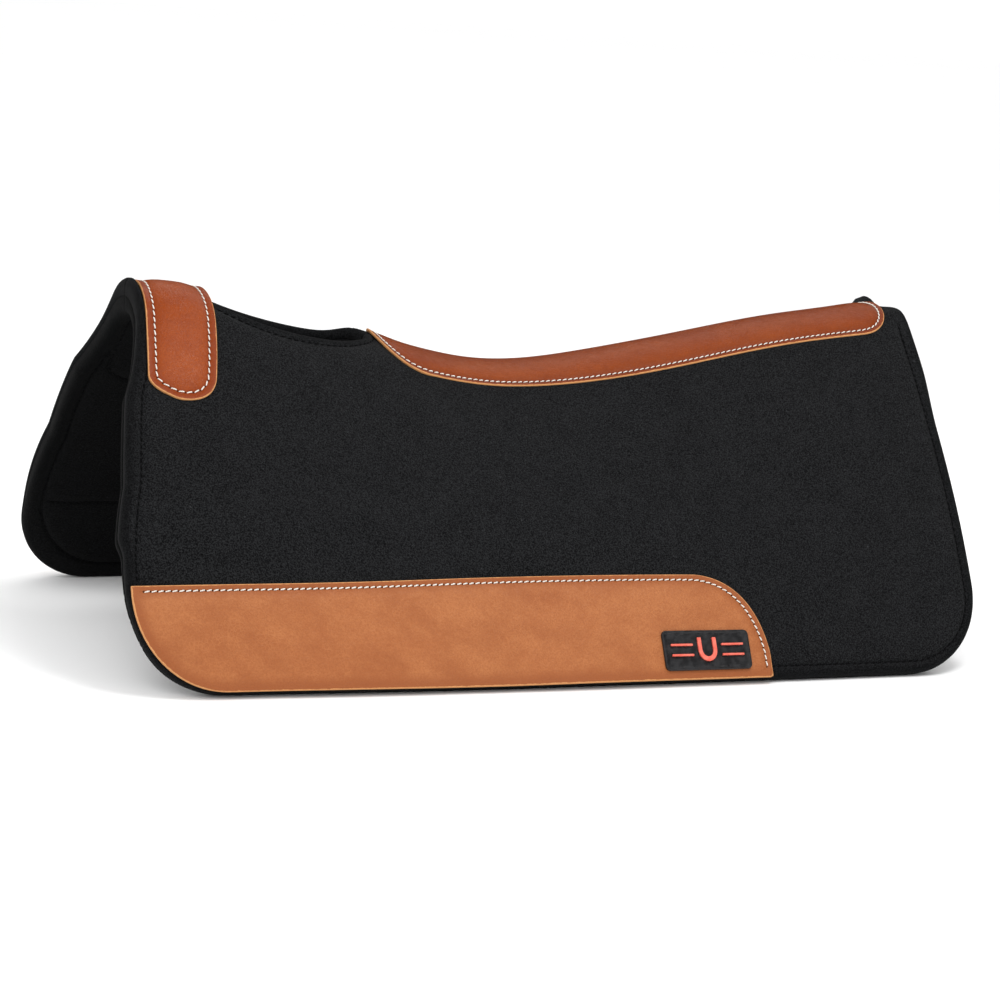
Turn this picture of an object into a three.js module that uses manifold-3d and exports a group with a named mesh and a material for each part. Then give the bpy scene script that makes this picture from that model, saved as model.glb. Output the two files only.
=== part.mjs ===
// Contoured western saddle pad: two felt panels meeting along a curved spine, with sewn leather trim.
// Millimetres, +Z up. X runs along the spine, with the withers end at -X. The near side (the horse's
// left) is at -Y. The pad stands on its two long lower edges, and the origin is midway between them.
import * as THREE from 'three';
import { mergeVertices } from 'three/addons/utils/BufferGeometryUtils.js';
import Module from 'manifold-3d';

const wasm = await Module();
wasm.setup();

// ---- driving dimensions -------------------------------------------------------------------------
const LENGTH = 800;
const FRONT_X = -LENGTH / 2;
const REAR_X = LENGTH / 2;
const WITHERS_X = -351; // highest point of the spine
const DIP_X = -9; // lowest point of the spine
const RIDGE_HEIGHT = { front: 314, dip: 252, rear: 305 };
const FLANK_SLOPE = { front: 58, dip: 51, rear: 56 }; // mean slope of the panels, degrees
const FLANK_BOW = 12; // the panels are this much flatter at the crown than the mean, and steeper below
const CROWN_RADIUS = 80;
const DROP = 400; // spine to lower edge, along the surface
const CORNER_RADIUS = 84;

const UPPER_FELT = 11.5;
const CORE = 4.3;
const LOWER_FELT = 11.5;
const GAP = 0.3;
const LEATHER = 3;
const BADGE = 2.5;
const EMBLEM = 0.8;
const SPINE_CLEARANCE = 0.2;

const THREAD_RADIUS = 0.9;
const THREAD_GAP = 0.7;
const CORE_INSET = 18;
const SEAM_SIDE_INSET = 9;
const SEAM_FOOT_INSET = 15;

// ---- the draped surface ------------------------------------------------------------------------
const radians = THREE.MathUtils.degToRad;

function halfCosine(t) {
  return (1 - Math.cos(Math.PI * THREE.MathUtils.clamp(t, 0, 1))) / 2;
}

// A quantity that runs smoothly from its front value through its dip value to its rear value.
function alongSpine(quantity, x) {
  const toFront = halfCosine((DIP_X - x) / (DIP_X - WITHERS_X));
  const toRear = halfCosine((x - DIP_X) / (REAR_X - DIP_X));
  return quantity.dip + (quantity.front - quantity.dip) * toFront + (quantity.rear - quantity.dip) * toRear;
}

// The cross-section at x: a crown arc, then a flank arc of much larger radius.
function section(x) {
  const crownAngle = radians(alongSpine(FLANK_SLOPE, x) - FLANK_BOW);
  const crownArc = CROWN_RADIUS * crownAngle;
  return {
    ridge: alongSpine(RIDGE_HEIGHT, x),
    crownAngle,
    crownArc,
    flankRadius: (DROP - crownArc) / radians(2 * FLANK_BOW),
  };
}

// The point at x, at arc length s from the spine (negative on the near side), depth under the outside.
function drape(x, s, depth) {
  const { ridge, crownAngle, crownArc, flankRadius } = section(x);
  const arc = Math.abs(s);
  const onCrown = arc < crownArc;
  const angle = onCrown ? arc / CROWN_RADIUS : crownAngle + (arc - crownArc) / flankRadius;
  const crownEnd = Math.min(angle, crownAngle);
  let y = CROWN_RADIUS * Math.sin(crownEnd);
  let z = ridge - CROWN_RADIUS * (1 - Math.cos(crownEnd));
  if (!onCrown) {
    y += flankRadius * (Math.sin(angle) - Math.sin(crownAngle));
    z -= flankRadius * (Math.cos(crownAngle) - Math.cos(angle));
  }
  y -= depth * Math.sin(angle);
  z -= depth * Math.cos(angle);
  return new THREE.Vector3(x, Math.sign(s) * y, z);
}

// Arc length from the spine at which the outside surface at x comes down to height z, on the flank.
function arcAtHeight(x, z) {
  const { ridge, crownAngle, crownArc, flankRadius } = section(x);
  const crownFoot = ridge - CROWN_RADIUS * (1 - Math.cos(crownAngle));
  const angle = Math.acos(Math.cos(crownAngle) - (crownFoot - z) / flankRadius);
  return crownArc + flankRadius * (angle - crownAngle);
}

// Every layer is faceted on these same lines, so layers nest without touching.
const COLUMNS = 20;
const OVERHANG = 25; // the slabs run this far past the outline before they are cut to it
const X_LINES = [];
for (let i = 0; i <= COLUMNS; i += 1) {
  X_LINES.push(FRONT_X - OVERHANG + (i * (LENGTH + 2 * OVERHANG)) / COLUMNS);
}
const CROWN_STEP = 14;
const FLANK_STEP = 83;
const ARC_LINES = [SPINE_CLEARANCE];
for (let i = 1; i <= 5; i += 1) ARC_LINES.push(i * CROWN_STEP);
for (let i = 1; i <= 5; i += 1) ARC_LINES.push(5 * CROWN_STEP + i * FLANK_STEP);

function arcLinesWithin(side, reach) {
  const first = ARC_LINES.findIndex((s) => s >= reach[0]);
  const last = ARC_LINES.findIndex((s) => s >= reach[1]);
  const lines = ARC_LINES.slice(Math.max(first - 1, 0), last + 1);
  return side < 0 ? lines.map((s) => -s).reverse() : lines;
}

// ---- solids ------------------------------------------------------------------------------------
function toManifold(geometry) {
  geometry.deleteAttribute('normal');
  geometry.deleteAttribute('uv');
  const welded = mergeVertices(geometry, 1e-4);
  return new wasm.Manifold(
    new wasm.Mesh({
      numProp: 3,
      vertProperties: new Float32Array(welded.attributes.position.array),
      triVerts: new Uint32Array(welded.index.array),
    }),
  );
}

function toGeometry(manifold) {
  const { vertProperties, triVerts, numProp } = manifold.getMesh();
  const positions = new Float32Array((vertProperties.length / numProp) * 3);
  for (let i = 0; i < positions.length / 3; i += 1) {
    positions.set(vertProperties.subarray(i * numProp, i * numProp + 3), i * 3);
  }
  const geometry = new THREE.BufferGeometry();
  geometry.setAttribute('position', new THREE.BufferAttribute(positions, 3));
  geometry.setIndex(new THREE.BufferAttribute(new Uint32Array(triVerts), 1));
  geometry.computeVertexNormals();
  return geometry;
}

// A closed solid between two depths, over a grid of x lines and arc lines (both increasing).
function drapedSlab(arcLines, outerDepth, innerDepth) {
  const rows = arcLines.length;
  const vertices = [];
  for (const depth of [outerDepth, innerDepth]) {
    for (const x of X_LINES) {
      for (const s of arcLines) vertices.push(...drape(x, s, depth).toArray());
    }
  }
  const at = (layer, i, j) => (layer * X_LINES.length + i) * rows + j;
  const faces = [];
  const quad = (a, b, c, d) => faces.push(a, b, c, a, c, d);
  for (let i = 0; i < COLUMNS; i += 1) {
    for (let j = 0; j < rows - 1; j += 1) {
      const corners = [[i, j], [i + 1, j], [i + 1, j + 1], [i, j + 1]];
      // The diagonals mirror across the spine, so that both sides are faceted alike.
      if (arcLines[j] + arcLines[j + 1] > 0) corners.push(corners.shift());
      quad(...corners.map(([p, q]) => at(0, p, q)));
      const [a, b, c, d] = corners.map(([p, q]) => at(1, p, q));
      quad(a, d, c, b);
    }
    quad(at(0, i + 1, 0), at(0, i, 0), at(1, i, 0), at(1, i + 1, 0));
    quad(at(0, i, rows - 1), at(0, i + 1, rows - 1), at(1, i + 1, rows - 1), at(1, i, rows - 1));
  }
  for (let j = 0; j < rows - 1; j += 1) {
    quad(at(0, 0, j), at(0, 0, j + 1), at(1, 0, j + 1), at(1, 0, j));
    quad(at(0, COLUMNS, j + 1), at(0, COLUMNS, j), at(1, COLUMNS, j), at(1, COLUMNS, j + 1));
  }
  const geometry = new THREE.BufferGeometry();
  geometry.setAttribute('position', new THREE.Float32BufferAttribute(vertices, 3));
  geometry.setIndex(faces);
  return toManifold(geometry);
}

const PRISM_REACH = 600;
const CURVE_SEGMENTS = 7;

// A prism across the pad, from an outline drawn in side view (x, z).
function sidePrism(shape) {
  const geometry = new THREE.ExtrudeGeometry(shape, {
    depth: 2 * PRISM_REACH,
    bevelEnabled: false,
    curveSegments: CURVE_SEGMENTS,
  });
  geometry.rotateX(Math.PI / 2);
  geometry.translate(0, PRISM_REACH, 0);
  return toManifold(geometry);
}

// A prism through the pad from above, from an outline drawn in plan (x, y).
function planPrism(shape) {
  const geometry = new THREE.ExtrudeGeometry(shape, {
    depth: PRISM_REACH,
    bevelEnabled: false,
    curveSegments: CURVE_SEGMENTS,
  });
  return toManifold(geometry);
}

// A thread lying on the surface along a path of (x, s) points.
function thread(path, depth) {
  const lift = THREAD_GAP + THREAD_RADIUS - depth;
  const route = new THREE.CatmullRomCurve3(path.map(([x, s]) => drape(x, s, -lift)));
  const section = new THREE.Shape();
  section.absarc(0, 0, THREAD_RADIUS, 0, 2 * Math.PI, false);
  const geometry = new THREE.ExtrudeGeometry(section, {
    steps: path.length,
    curveSegments: 3,
    extrudePath: route,
    bevelEnabled: false,
  });
  return toGeometry(toManifold(geometry));
}

// ---- outlines ----------------------------------------------------------------------------------
const TOP = 340; // above everything

// Side view of a panel, drawn inset from the true outline by the same amount all round. The front edge
// leaves the spine almost upright, sweeps forward below the strap, and is upright again at the corner.
// Each point is a distance from the withers along X, and a height.
const FRONT_SWEEP = {
  crest: [-6, TOP],
  neck: [-9, 288],
  neckBend: [-15, 252],
  shoulder: [-28, 228],
  shoulderBend: [-34, 200],
  hip: [-38, 160],
};
const HIP_BEND_HEIGHT = CORNER_RADIUS + 40;
function panelOutline(inset) {
  const radius = CORNER_RADIUS - inset;
  const from = ([forward, height]) => [WITHERS_X + forward + inset, height];
  const shape = new THREE.Shape();
  shape.moveTo(...from(FRONT_SWEEP.crest));
  shape.lineTo(...from(FRONT_SWEEP.neck));
  shape.quadraticCurveTo(...from(FRONT_SWEEP.neckBend), ...from(FRONT_SWEEP.shoulder));
  shape.quadraticCurveTo(...from(FRONT_SWEEP.shoulderBend), ...from(FRONT_SWEEP.hip));
  shape.quadraticCurveTo(FRONT_X + inset, HIP_BEND_HEIGHT, FRONT_X + inset, CORNER_RADIUS);
  shape.absarc(FRONT_X + CORNER_RADIUS, CORNER_RADIUS, radius, Math.PI, 1.5 * Math.PI, false);
  shape.absarc(REAR_X - CORNER_RADIUS, CORNER_RADIUS, radius, 1.5 * Math.PI, 2 * Math.PI, false);
  shape.lineTo(REAR_X - inset, TOP);
  shape.closePath();
  return shape;
}

// The opening behind the withers, in plan: an egg, widest near its front, which reaches under the strap.
const VENT = { front: -306, widest: -228, rear: -138, halfWidth: 43 };
function grown(egg, by) {
  return { front: egg.front - by, widest: egg.widest, rear: egg.rear + by, halfWidth: egg.halfWidth + by };
}

// The same opening lower down in the pad: its sides run square to the crown, so it narrows with depth.
function atDepth(egg, depth) {
  return { ...egg, halfWidth: egg.halfWidth * (1 - depth / CROWN_RADIUS) };
}

function eggOutline({ front, widest, rear, halfWidth }) {
  const shape = new THREE.Shape();
  shape.absellipse(widest, 0, widest - front, halfWidth, Math.PI / 2, 1.5 * Math.PI, false);
  shape.absellipse(widest, 0, rear - widest, halfWidth, -Math.PI / 2, Math.PI / 2, false);
  shape.closePath();
  return shape;
}

const NOTCH_DEPTH = 10;
const NOTCH_HALF_WIDTH = 16;
function rearNotchOutline() {
  const shape = new THREE.Shape();
  shape.moveTo(REAR_X + OVERHANG, -NOTCH_HALF_WIDTH * 2);
  shape.lineTo(REAR_X, -NOTCH_HALF_WIDTH);
  shape.quadraticCurveTo(REAR_X - NOTCH_DEPTH, -NOTCH_HALF_WIDTH / 4, REAR_X - NOTCH_DEPTH, 0);
  shape.quadraticCurveTo(REAR_X - NOTCH_DEPTH, NOTCH_HALF_WIDTH / 4, REAR_X, NOTCH_HALF_WIDTH);
  shape.lineTo(REAR_X + OVERHANG, NOTCH_HALF_WIDTH * 2);
  shape.closePath();
  return shape;
}

// The strap over the withers, in side view: its ends are rounded and a little narrower.
const STRAP = { top: -345, front: -361, rear: -291, waist: 285, end: 227, endRear: -298, corner: 24 };
function strapOutline() {
  const { top, front, rear, waist, end, endRear, corner } = STRAP;
  const shape = new THREE.Shape();
  shape.moveTo(top, TOP);
  shape.quadraticCurveTo(top, waist, front, end + corner);
  shape.quadraticCurveTo(front, end, front + corner, end);
  shape.lineTo(endRear - corner, end);
  shape.quadraticCurveTo(endRear, end, endRear, end + corner);
  shape.quadraticCurveTo(rear, waist, rear, TOP);
  shape.closePath();
  return shape;
}

// The strip along the spine, in plan.
const STRIP = { front: -129, rear: 388, halfWidth: 50, frontCorner: 22, rearCorner: 36 };
function stripOutline() {
  const { front, rear, halfWidth, frontCorner, rearCorner } = STRIP;
  const shape = new THREE.Shape();
  shape.moveTo(front, 0);
  shape.quadraticCurveTo(front, -halfWidth, front + 2 * frontCorner, -halfWidth);
  shape.lineTo(rear - rearCorner, -halfWidth);
  shape.quadraticCurveTo(rear, -halfWidth, rear, 0);
  shape.quadraticCurveTo(rear, halfWidth, rear - rearCorner, halfWidth);
  shape.lineTo(front + 2 * frontCorner, halfWidth);
  shape.quadraticCurveTo(front, halfWidth, front, 0);
  return shape;
}

// The wear leather on the lower front, in side view: it follows the panel's corner, and its top edge
// turns down to the foot in one long curve behind the shoulder.
const WEAR = { margin: 6, top: 88, shoulder: 118, rear: 179, drop: 26, bulge: [171, 84] };
function wearOutline() {
  const { margin, top, shoulder, rear, drop, bulge } = WEAR;
  const front = FRONT_X + margin;
  const radius = CORNER_RADIUS - margin;
  const shape = new THREE.Shape();
  shape.moveTo(front, top);
  shape.absarc(front + radius, margin + radius, radius, Math.PI, 1.5 * Math.PI, false);
  shape.lineTo(rear, margin);
  shape.lineTo(rear, drop);
  shape.quadraticCurveTo(...bulge, shoulder, top);
  shape.closePath();
  return shape;
}

const BADGE_AT = { x: 116, z: 31, halfLength: 42, halfHeight: 15.5, corner: 4 };
function badgeOutline() {
  const { x, z, halfLength, halfHeight, corner } = BADGE_AT;
  const left = x - halfLength + corner;
  const right = x + halfLength - corner;
  const low = z - halfHeight + corner;
  const high = z + halfHeight - corner;
  const shape = new THREE.Shape();
  shape.absarc(left, low, corner, Math.PI, 1.5 * Math.PI, false);
  shape.absarc(right, low, corner, 1.5 * Math.PI, 2 * Math.PI, false);
  shape.absarc(right, high, corner, 0, Math.PI / 2, false);
  shape.absarc(left, high, corner, Math.PI / 2, Math.PI, false);
  shape.closePath();
  return shape;
}

// A plain horseshoe, open at the top.
const SHOE = { outer: 9, inner: 5.4, heel: 9.5 };
function emblemOutline() {
  const { x, z } = BADGE_AT;
  const { outer, inner, heel } = SHOE;
  const shape = new THREE.Shape();
  shape.moveTo(x - outer, z + heel);
  shape.absarc(x, z, outer, Math.PI, 2 * Math.PI, false);
  shape.lineTo(x + outer, z + heel);
  shape.lineTo(x + inner, z + heel);
  shape.absarc(x, z, inner, 2 * Math.PI, Math.PI, true);
  shape.lineTo(x - inner, z + heel);
  shape.closePath();
  return shape;
}

// ---- felt panels -------------------------------------------------------------------------------
const PANEL_REACH = [0, DROP + 60];
const lowerTop = UPPER_FELT + GAP;
const lowerBottom = lowerTop + CORE + GAP + LOWER_FELT;

// The region of a felt whose middle is at that depth.
function panelPrism(depth) {
  return sidePrism(panelOutline(0))
    .subtract(planPrism(eggOutline(atDepth(VENT, depth))))
    .subtract(planPrism(rearNotchOutline()));
}

// The region of the core, or of the pocket that it lies in, kept clear of every edge and of the spine.
const CORE_SPINE_INSET = 10;
function corePrism(clearance) {
  const inset = CORE_INSET - clearance;
  const vent = grown(atDepth(VENT, lowerTop), inset);
  const spine = new THREE.BoxGeometry(2 * PRISM_REACH, 2 * (CORE_SPINE_INSET - clearance), 2 * PRISM_REACH);
  const floor = new THREE.BoxGeometry(2 * PRISM_REACH, 2 * PRISM_REACH, 2 * inset);
  return sidePrism(panelOutline(inset))
    .subtract(planPrism(eggOutline(vent)))
    .subtract(toManifold(spine))
    .subtract(toManifold(floor));
}

function upperFelt(side) {
  const slab = drapedSlab(arcLinesWithin(side, PANEL_REACH), 0, UPPER_FELT);
  return toGeometry(slab.intersect(panelPrism(UPPER_FELT / 2)));
}

function core(side) {
  const slab = drapedSlab(arcLinesWithin(side, PANEL_REACH), lowerTop, lowerTop + CORE);
  return toGeometry(slab.intersect(corePrism(0)));
}

// The lower felt has a shallow pocket that the core lies in.
const POCKET_OVERCUT = 5;
function lowerFelt(side) {
  const lines = arcLinesWithin(side, PANEL_REACH);
  const slab = drapedSlab(lines, lowerTop, lowerBottom).intersect(panelPrism((lowerTop + lowerBottom) / 2));
  const pocket = drapedSlab(lines, lowerTop - POCKET_OVERCUT, lowerTop + CORE + GAP);
  return toGeometry(slab.subtract(pocket.intersect(corePrism(GAP))));
}

// ---- leather and badge -------------------------------------------------------------------------
const STRAP_REACH = [0, 180];
const STRIP_REACH = [0, 60];
const WEAR_REACH = [300, DROP + 60];
const leatherOuter = -GAP - LEATHER;
const badgeOuter = leatherOuter - GAP - BADGE;
const emblemOuter = badgeOuter - GAP - EMBLEM;

function acrossSpine(reach) {
  const right = arcLinesWithin(1, reach);
  return [...right.map((s) => -s).reverse(), ...right];
}

function withersStrap() {
  const slab = drapedSlab(acrossSpine(STRAP_REACH), leatherOuter, -GAP);
  return toGeometry(slab.intersect(sidePrism(strapOutline())));
}

function spineStrip() {
  const slab = drapedSlab(acrossSpine(STRIP_REACH), leatherOuter, -GAP);
  return toGeometry(slab.intersect(planPrism(stripOutline())));
}

function flankPiece(side, outline, outer, inner) {
  return toGeometry(drapedSlab(arcLinesWithin(side, WEAR_REACH), outer, inner).intersect(sidePrism(outline)));
}

// ---- stitching ---------------------------------------------------------------------------------
const THREAD_STEP = 18;
const TIGHT_THREAD_STEP = 12; // where a thread crosses the crown
const THREAD_END_GAP = 3; // between the two ends of a thread that goes right round

function spaced(path, step = THREAD_STEP) {
  return path.getSpacedPoints(Math.round(path.getLength() / step)).map((p) => [p.x, p.y]);
}

// A path drawn in side view (x, z), laid on the flank of one side.
function onFlank(path, side) {
  return spaced(path).map(([x, z]) => [x, side * arcAtHeight(x, z)]);
}

// Inside the strap's edge all round, and further in at the front, where the strap leans back at the spine.
const STRAP_SEAM = { inset: 7, frontLean: 5, rearLean: 3, corner: 20 };
function strapThread() {
  const { inset, frontLean, rearLean, corner } = STRAP_SEAM;
  const foot = arcAtHeight(STRAP.endRear, STRAP.end) - inset;
  const left = STRAP.front + inset + frontLean;
  const right = STRAP.endRear - inset + rearLean;
  const path = new THREE.Path();
  path.moveTo(left, -THREAD_END_GAP);
  path.lineTo(left, -foot + corner);
  path.quadraticCurveTo(left, -foot, left + corner, -foot);
  path.lineTo(right - corner, -foot);
  path.quadraticCurveTo(right, -foot, right, -foot + corner);
  path.lineTo(right, foot - corner);
  path.quadraticCurveTo(right, foot, right - corner, foot);
  path.lineTo(left + corner, foot);
  path.quadraticCurveTo(left, foot, left, foot - corner);
  path.lineTo(left, 0);
  return thread(spaced(path, TIGHT_THREAD_STEP), leatherOuter);
}

const STRIP_SEAM = 5;
function stripThread() {
  const front = STRIP.front + STRIP_SEAM;
  const rear = STRIP.rear - STRIP_SEAM;
  const side = CROWN_RADIUS * Math.asin(STRIP.halfWidth / CROWN_RADIUS) - STRIP_SEAM;
  const path = new THREE.Path();
  path.moveTo(front, -THREAD_END_GAP);
  path.quadraticCurveTo(front, -side, front + 2 * STRIP.frontCorner, -side);
  path.lineTo(rear - STRIP.rearCorner, -side);
  path.quadraticCurveTo(rear, -side, rear, 0);
  path.quadraticCurveTo(rear, side, rear - STRIP.rearCorner, side);
  path.lineTo(front + 2 * STRIP.frontCorner, side);
  path.quadraticCurveTo(front, side, front, 0);
  return thread(spaced(path), leatherOuter);
}

// Along the wear leather's top edge and down its rear edge; the lower front is glued.
const WEAR_SEAM = 7;
const WEAR_SEAM_BULGE = [164, 74];
function wearThread(side) {
  const { margin, top, shoulder, rear, drop } = WEAR;
  const path = new THREE.Path();
  path.moveTo(FRONT_X + margin + WEAR_SEAM, top - WEAR_SEAM);
  path.lineTo(shoulder, top - WEAR_SEAM);
  path.quadraticCurveTo(...WEAR_SEAM_BULGE, rear - WEAR_SEAM, drop);
  path.lineTo(rear - WEAR_SEAM, margin + WEAR_SEAM);
  return thread(onFlank(path, side), leatherOuter);
}

// Beside the front edge, from under the strap down to the wear leather.
const LEATHER_CLEARANCE = 8; // between the end of a black thread and a leather's edge
const FRONT_SEAM = { start: -30, foot: -46 }; // forward of the withers
function frontSeamThread(side) {
  const seam = ([forward, height]) => [WITHERS_X + forward + SEAM_SIDE_INSET, height];
  const path = new THREE.Path();
  path.moveTo(...seam([FRONT_SEAM.start, STRAP.end - LEATHER_CLEARANCE]));
  path.quadraticCurveTo(...seam(FRONT_SWEEP.shoulderBend), ...seam(FRONT_SWEEP.hip));
  path.lineTo(...seam([FRONT_SEAM.foot, WEAR.top + LEATHER_CLEARANCE]));
  return thread(onFlank(path, side), 0);
}

// Down the rear edge, round the corner, and along the bottom to the wear leather.
const REAR_SEAM_DROP = 24; // from the ridge down to the top of the seam
function rearSeamThread(side) {
  const top = alongSpine(RIDGE_HEIGHT, REAR_X) - REAR_SEAM_DROP;
  const corner = [REAR_X - CORNER_RADIUS, CORNER_RADIUS];
  const path = new THREE.Path();
  path.moveTo(REAR_X - SEAM_SIDE_INSET, top);
  path.lineTo(REAR_X - SEAM_SIDE_INSET, CORNER_RADIUS);
  path.absellipse(
    ...corner, CORNER_RADIUS - SEAM_SIDE_INSET, CORNER_RADIUS - SEAM_FOOT_INSET, 0, -Math.PI / 2, true,
  );
  path.lineTo(WEAR.rear + LEATHER_CLEARANCE, SEAM_FOOT_INSET);
  return thread(onFlank(path, side), 0);
}

// Round the vent on one side, between the strap and the strip.
const VENT_SEAM = 9;
const VENT_THREAD_START = 3; // behind the strap's rear edge
const VENT_THREAD_END = 0.3; // radians short of the spine, clear of the strip
const ARC_PER_PLAN = 1.06; // arc length on the crown over distance in plan
function ventThread(side) {
  const { front, widest, rear, halfWidth } = grown(VENT, VENT_SEAM);
  const start = Math.acos((STRAP.rear + VENT_THREAD_START - widest) / (widest - front));
  const path = new THREE.Path();
  path.absellipse(widest, 0, widest - front, halfWidth, start, Math.PI / 2, true);
  path.absellipse(widest, 0, rear - widest, halfWidth, Math.PI / 2, VENT_THREAD_END, true);
  return thread(spaced(path, TIGHT_THREAD_STEP).map(([x, y]) => [x, side * y * ARC_PER_PLAN]), 0);
}

// ---- assembly ----------------------------------------------------------------------------------
const BLACK_FELT = { color: 0x232527, roughness: 1 };
const CORE_FOAM = { color: 0x4a4a46, roughness: 0.95 };
const WEAR_LEATHER = { color: 0xc3774a, roughness: 0.55 };
const STRAP_LEATHER = { color: 0xa75630, roughness: 0.45 };
const STRIP_LEATHER = { color: 0x9f4f2a, roughness: 0.4 };
const PALE_THREAD = { color: 0xe9e2d4, roughness: 0.8 };
const BLACK_THREAD = { color: 0x141516, roughness: 0.9 };
const BLACK_RUBBER = { color: 0x1c1c1d, roughness: 0.6 };
const CORAL_RUBBER = { color: 0xd9503c, roughness: 0.6 };

const pad = new THREE.Group();
pad.name = 'saddle_pad';

function add(name, geometry, material) {
  const mesh = new THREE.Mesh(geometry, new THREE.MeshStandardMaterial({ metalness: 0, ...material }));
  mesh.name = name;
  pad.add(mesh);
}

const SIDES = { left: -1, right: 1 };
for (const [name, side] of Object.entries(SIDES)) {
  add(`upper_felt_${name}`, upperFelt(side), BLACK_FELT);
  add(`core_${name}`, core(side), CORE_FOAM);
  add(`lower_felt_${name}`, lowerFelt(side), BLACK_FELT);
  add(`wear_leather_${name}`, flankPiece(side, wearOutline(), leatherOuter, -GAP), WEAR_LEATHER);
  add(`badge_${name}`, flankPiece(side, badgeOutline(), badgeOuter, leatherOuter - GAP), BLACK_RUBBER);
  add(`emblem_${name}`, flankPiece(side, emblemOutline(), emblemOuter, badgeOuter - GAP), CORAL_RUBBER);
  add(`wear_thread_${name}`, wearThread(side), PALE_THREAD);
  add(`front_seam_thread_${name}`, frontSeamThread(side), BLACK_THREAD);
  add(`rear_seam_thread_${name}`, rearSeamThread(side), BLACK_THREAD);
  add(`vent_thread_${name}`, ventThread(side), BLACK_THREAD);
}
add('withers_strap', withersStrap(), STRAP_LEATHER);
add('spine_strip', spineStrip(), STRIP_LEATHER);
add('strap_thread', strapThread(), PALE_THREAD);
add('strip_thread', stripThread(), PALE_THREAD);

export default pad;
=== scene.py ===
import math

import bmesh
import bpy
import numpy as np
from mathutils import Matrix, Vector
from mathutils.geometry import delaunay_2d_cdt
from mathutils.kdtree import KDTree


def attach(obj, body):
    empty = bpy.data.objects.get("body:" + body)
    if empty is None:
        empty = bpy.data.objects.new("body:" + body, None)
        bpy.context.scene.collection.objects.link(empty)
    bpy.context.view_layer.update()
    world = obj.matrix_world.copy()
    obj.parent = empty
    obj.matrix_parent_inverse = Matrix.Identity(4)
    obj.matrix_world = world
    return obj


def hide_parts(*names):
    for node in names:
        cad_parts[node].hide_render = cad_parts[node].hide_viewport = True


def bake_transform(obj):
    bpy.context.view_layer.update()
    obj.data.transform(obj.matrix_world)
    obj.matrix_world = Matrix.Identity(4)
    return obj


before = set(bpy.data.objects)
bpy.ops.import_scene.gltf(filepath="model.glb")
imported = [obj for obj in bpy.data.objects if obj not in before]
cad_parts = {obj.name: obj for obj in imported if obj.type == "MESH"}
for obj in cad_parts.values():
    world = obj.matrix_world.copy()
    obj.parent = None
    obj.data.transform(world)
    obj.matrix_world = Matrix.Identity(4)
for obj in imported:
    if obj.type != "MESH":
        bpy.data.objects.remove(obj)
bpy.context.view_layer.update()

# A contoured western saddle pad: two felt panels that meet along a curved spine, with sewn leather trim.
# Metres, +Z up, the withers at -X, the near side at -Y. Every sheet is drawn flat, as points (x, s) where
# s is arc length from the spine (negative on the near side), and then draped at some depth under the
# outside surface. A point's "folded" place is (x, |s|), because both sides have the same outlines.

# ---- driving dimensions: the CAD source's own ----
LENGTH = 0.800
FRONT_X = -LENGTH / 2
REAR_X = LENGTH / 2
WITHERS_X = -0.351
DIP_X = -0.009
RIDGE_HEIGHT = (0.314, 0.252, 0.305)  # front, dip, rear
FLANK_SLOPE = (58, 51, 56)  # degrees
FLANK_BOW = 12
CROWN_RADIUS = 0.080
DROP = 0.400
CORNER_RADIUS = 0.084

UPPER_FELT = 0.0115
CORE = 0.0043
LOWER_FELT = 0.0115
GAP = 0.0003
LEATHER = 0.003
BADGE = 0.0025
EMBLEM = 0.0008
CORE_INSET = 0.018
SEAM_FRONT_INSET = 0.012
SEAM_REAR_INSET = 0.009
SEAM_FOOT_INSET = 0.015
TOP = 0.340  # above everything

LOWER_TOP = UPPER_FELT + GAP
LOWER_BOTTOM = LOWER_TOP + CORE + GAP + LOWER_FELT
LEATHER_OUTSIDE = -GAP - LEATHER
BADGE_OUTSIDE = LEATHER_OUTSIDE - GAP - BADGE
EMBLEM_OUTSIDE = BADGE_OUTSIDE - GAP - EMBLEM


# ---- the draped surface ----
def half_cosine(t):
    return (1 - np.cos(np.pi * np.clip(t, 0, 1))) / 2


def smooth(t):
    t = np.clip(t, 0, 1)
    return t * t * (3 - 2 * t)


def over(value, start, end):
    """0 up to start and 1 from end on."""
    return smooth((value - start) / (end - start))


def along_spine(quantity, x):
    front, dip, rear = quantity
    to_front = half_cosine((DIP_X - x) / (DIP_X - WITHERS_X))
    to_rear = half_cosine((x - DIP_X) / (REAR_X - DIP_X))
    return dip + (front - dip) * to_front + (rear - dip) * to_rear


def section(x):
    """At x: the ridge's height, the crown arc's angle and length, and the flank arc's radius."""
    crown_angle = np.radians(along_spine(FLANK_SLOPE, x) - FLANK_BOW)
    crown_arc = CROWN_RADIUS * crown_angle
    flank_radius = (DROP - crown_arc) / math.radians(2 * FLANK_BOW)
    return along_spine(RIDGE_HEIGHT, x), crown_angle, crown_arc, flank_radius


def drape(points, depth):
    """Flat points (x, s) laid on the surface, depth under the outside: (n, 3)."""
    x, s = points.T
    ridge, crown_angle, crown_arc, flank_radius = section(x)
    arc = np.abs(s)
    on_flank = crown_angle + (arc - crown_arc) / flank_radius
    angle = np.where(arc < crown_arc, arc / CROWN_RADIUS, on_flank)
    near = np.minimum(angle, crown_angle)
    far = np.maximum(angle, crown_angle)
    y = CROWN_RADIUS * np.sin(near) + flank_radius * (np.sin(far) - np.sin(crown_angle))
    z = ridge - CROWN_RADIUS * (1 - np.cos(near)) - flank_radius * (np.cos(crown_angle) - np.cos(far))
    y = y - depth * np.sin(angle)
    z = z - depth * np.cos(angle)
    return np.stack([x, np.sign(s) * y, z], axis=1)


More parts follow.
